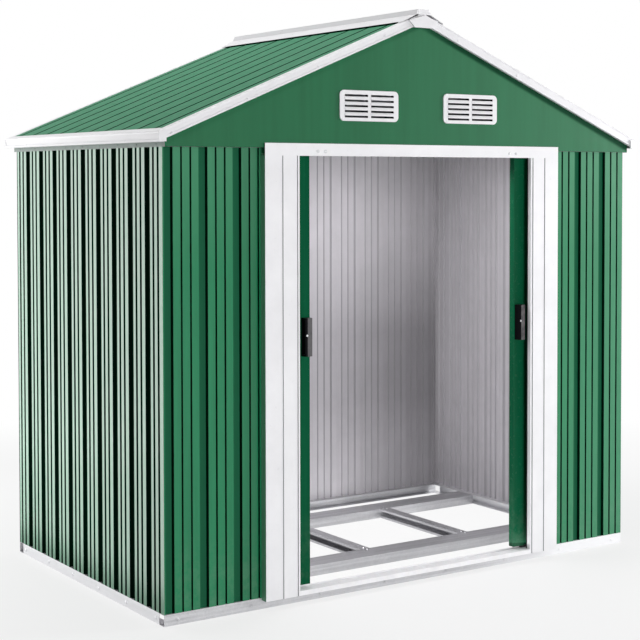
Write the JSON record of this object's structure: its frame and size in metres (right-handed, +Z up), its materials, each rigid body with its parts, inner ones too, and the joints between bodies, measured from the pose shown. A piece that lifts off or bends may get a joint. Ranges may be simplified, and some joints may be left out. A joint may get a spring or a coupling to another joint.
{
  "type": "storage shed",
  "caption": "Pitched-roof storage shed of ribbed steel sheet with sliding doors, louvred gable vents and an open ground frame.",
  "frame": {"origin": "on the ground below the middle of the shed", "axes": "+X along the front to the right as seen from the front, +Y from the front to the back, +Z up"},
  "size_m": [2.07, 1.318, 2.041],
  "materials": {
    "green_sheet": "gloss",
    "galvanised_steel": "satin",
    "white_trim": "gloss",
    "black_plastic": "satin",
    "roof_sheet": "gloss",
    "grey_green_rail": "satin",
    "white_vent": "gloss"
  },
  "bodies": {
    "shed": {"back_wall_left": "green_sheet", "back_wall_right": "green_sheet", "base_rail_back": "galvanised_steel", "base_rail_front": "galvanised_steel", "base_rail_left": "galvanised_steel", "base_rail_right": "galvanised_steel", "door_header": "white_trim", "door_jamb_left": "white_trim", "door_jamb_right": "white_trim", "door_sill": "white_trim", "door_track": "galvanised_steel", "eave_corner_caps": "white_trim", "eave_trim_left": "white_trim", "eave_trim_right": "white_trim", "floor_beam_front": "galvanised_steel", "floor_beam_rear": "galvanised_steel", "floor_joists": "galvanised_steel", "front_wall_left": "green_sheet", "front_wall_right": "green_sheet", "gable_back": "green_sheet", "gable_front": "green_sheet", "purlins": "galvanised_steel", "rake_trim_back_left": "white_trim", "rake_trim_back_right": "white_trim", "rake_trim_front_left": "white_trim", "rake_trim_front_right": "white_trim", "ridge_beam": "galvanised_steel", "ridge_cap": "white_trim", "ridge_end_plates": "white_trim", "roof_sheet_left": "roof_sheet", "roof_sheet_right": "roof_sheet", "side_wall_left": "green_sheet", "side_wall_right": "green_sheet", "top_rail_back": "galvanised_steel", "top_rail_front": "galvanised_steel", "top_rail_left": "grey_green_rail", "top_rail_right": "grey_green_rail", "vent_back_left": "white_vent", "vent_back_right": "white_vent", "vent_front_left": "white_vent", "vent_front_right": "white_vent"},
    "left_door": {"left_door_bottom_rail": "galvanised_steel", "left_door_handle": "black_plastic", "left_door_leaf": "green_sheet", "left_door_runners": "black_plastic", "left_door_top_rail": "galvanised_steel"},
    "right_door": {"right_door_bottom_rail": "galvanised_steel", "right_door_handle": "black_plastic", "right_door_leaf": "green_sheet", "right_door_runners": "black_plastic", "right_door_top_rail": "galvanised_steel"}
  },
  "joints": [
    {"name": "left_door_slide", "type": "slide", "parent": "shed", "child": "left_door", "axis": [1, 0, 0], "range_m": [0, 0.437]},
    {"name": "right_door_slide", "type": "slide", "parent": "shed", "child": "right_door", "axis": [-1, 0, 0], "range_m": [0, 0.462]}
  ]
}
